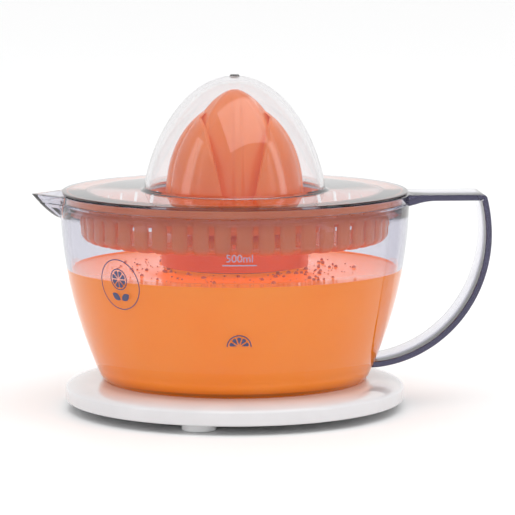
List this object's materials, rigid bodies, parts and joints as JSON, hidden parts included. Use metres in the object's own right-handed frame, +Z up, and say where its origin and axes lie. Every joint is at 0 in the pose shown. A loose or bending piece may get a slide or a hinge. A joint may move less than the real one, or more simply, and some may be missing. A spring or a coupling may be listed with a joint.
{
  "type": "citrus press juicer",
  "caption": "Electric citrus press: round base with motor tower, clear jug with spout and strap handle, slotted strainer, two ribbed reamer cones and a domed lid.",
  "frame": {"origin": "on the drive axis, in the plane the feet stand on", "axes": "+Z up along the drive axis, +X towards the handle, the spout points to -X"},
  "size_m": [0.1972, 0.1504, 0.144],
  "materials": {
    "white_plastic": "glossy moulded ABS",
    "grey_plastic": "matt moulded plastic",
    "foot_rubber": "soft matt rubber",
    "seal_rubber": "soft matt rubber",
    "clear_plastic": "polished clear plastic with a faint smoke tint",
    "orange_plastic": "translucent orange plastic, semi-gloss",
    "natural_nylon": "natural nylon",
    "black_plastic": "matt moulded plastic",
    "red_plastic": "matt moulded plastic",
    "steel": "plain steel",
    "zinc_sheet": "zinc-plated sheet steel",
    "copper_winding": "enamelled copper wire",
    "sintered_bronze": "oil-filled sintered bronze",
    "ferrite": "sintered ferrite magnet",
    "wire_sleeve": "PVC insulated wire",
    "juice": "orange juice, an appearance-only filling"
  },
  "bodies": {
    "base": {"base_housing": "white_plastic", "bottom_cover": "grey_plastic", "feet": "foot_rubber", "cover_screws": "steel", "cord_gland": "white_plastic", "terminal_block": "natural_nylon", "lead_wires": "wire_sleeve", "motor_can": "zinc_sheet", "stator_poles": "zinc_sheet", "coil_bobbin": "black_plastic", "coil_winding": "copper_winding", "motor_pin": "steel", "gear_plate": "zinc_sheet", "motor_screws": "steel", "layshaft_pin": "steel", "top_bracket": "grey_plastic", "bracket_screws": "steel", "spindle_bush": "sintered_bronze", "spindle_seal": "seal_rubber", "switch_body": "black_plastic", "return_spring": "steel"},
    "rotor": {"rotor_magnet": "ferrite", "rotor_pinion": "natural_nylon"},
    "layshaft": {"layshaft_gear": "natural_nylon"},
    "press_carriage": {"press_yoke": "black_plastic", "thrust_washer": "natural_nylon"},
    "switch_button": {"switch_plunger": "red_plastic"},
    "drive": {"output_gear": "natural_nylon", "spindle": "steel", "thrust_collar": "steel", "drive_coupling": "white_plastic"},
    "jug": {"jug_floor": "clear_plastic", "jug_lower_wall": "clear_plastic", "jug_upper_wall": "clear_plastic", "jug_spout": "clear_plastic", "jug_well": "clear_plastic", "jug_handle": "clear_plastic"},
    "strainer": {"strainer_hub": "orange_plastic", "strainer_floor": "orange_plastic", "strainer_wall": "orange_plastic"},
    "cone_guide": {"guide_ring": "natural_nylon"},
    "cones": {"small_cone": "orange_plastic", "large_cone": "orange_plastic", "cone_petals": "orange_plastic"},
    "lid": {"lid_plate": "clear_plastic", "lid_dome": "clear_plastic", "lid_crown": "clear_plastic"}
  },
  "joints": [
    {"name": "press_start", "type": "slide", "parent": "base", "child": "press_carriage", "axis": [0, 0, 1], "range_m": [-0.0012, 0], "stiffness_N_per_m": 2500, "springref_m": 0.002, "deforming": ["return_spring"]},
    {"name": "spindle_spin", "type": "hinge", "parent": "press_carriage", "child": "drive", "pos_m": [0, 0, 0.05], "axis": [0, 0, 1], "continuous": true},
    {"name": "rotor_spin", "type": "hinge", "parent": "base", "child": "rotor", "pos_m": [0, 0, 0.02], "axis": [0, 0, 1], "continuous": true},
    {"name": "layshaft_spin", "type": "hinge", "parent": "base", "child": "layshaft", "pos_m": [0, 0.0176, 0.04], "axis": [0, 0, 1], "continuous": true},
    {"name": "switch_press", "type": "slide", "parent": "base", "child": "switch_button", "axis": [0, 0, 1], "range_m": [-0.0012, 0]},
    {"name": "jug_lift", "type": "slide", "parent": "base", "child": "jug", "axis": [0, 0, 1], "range_m": [0, 0.1]},
    {"name": "strainer_lift", "type": "slide", "parent": "jug", "child": "strainer", "axis": [0, 0, 1], "range_m": [0, 0.05]},
    {"name": "cone_press", "type": "slide", "parent": "strainer", "child": "cone_guide", "axis": [0, 0, 1], "range_m": [-0.0012, 0]},
    {"name": "cone_spin", "type": "hinge", "parent": "cone_guide", "child": "cones", "pos_m": [0, 0, 0.1], "axis": [0, 0, 1], "continuous": true},
    {"name": "lid_lift", "type": "slide", "parent": "strainer", "child": "lid", "axis": [0, 0, 1], "range_m": [0, 0.055]}
  ],
  "couplings": [
    {"joint": "rotor_spin", "follows": "spindle_spin", "ratio": 7.1111},
    {"joint": "layshaft_spin", "follows": "spindle_spin", "ratio": -2.6667},
    {"joint": "cone_spin", "follows": "spindle_spin", "ratio": 1},
    {"joint": "cone_press", "follows": "press_start", "ratio": 1},
    {"joint": "switch_press", "follows": "press_start", "ratio": 1}
  ]
}
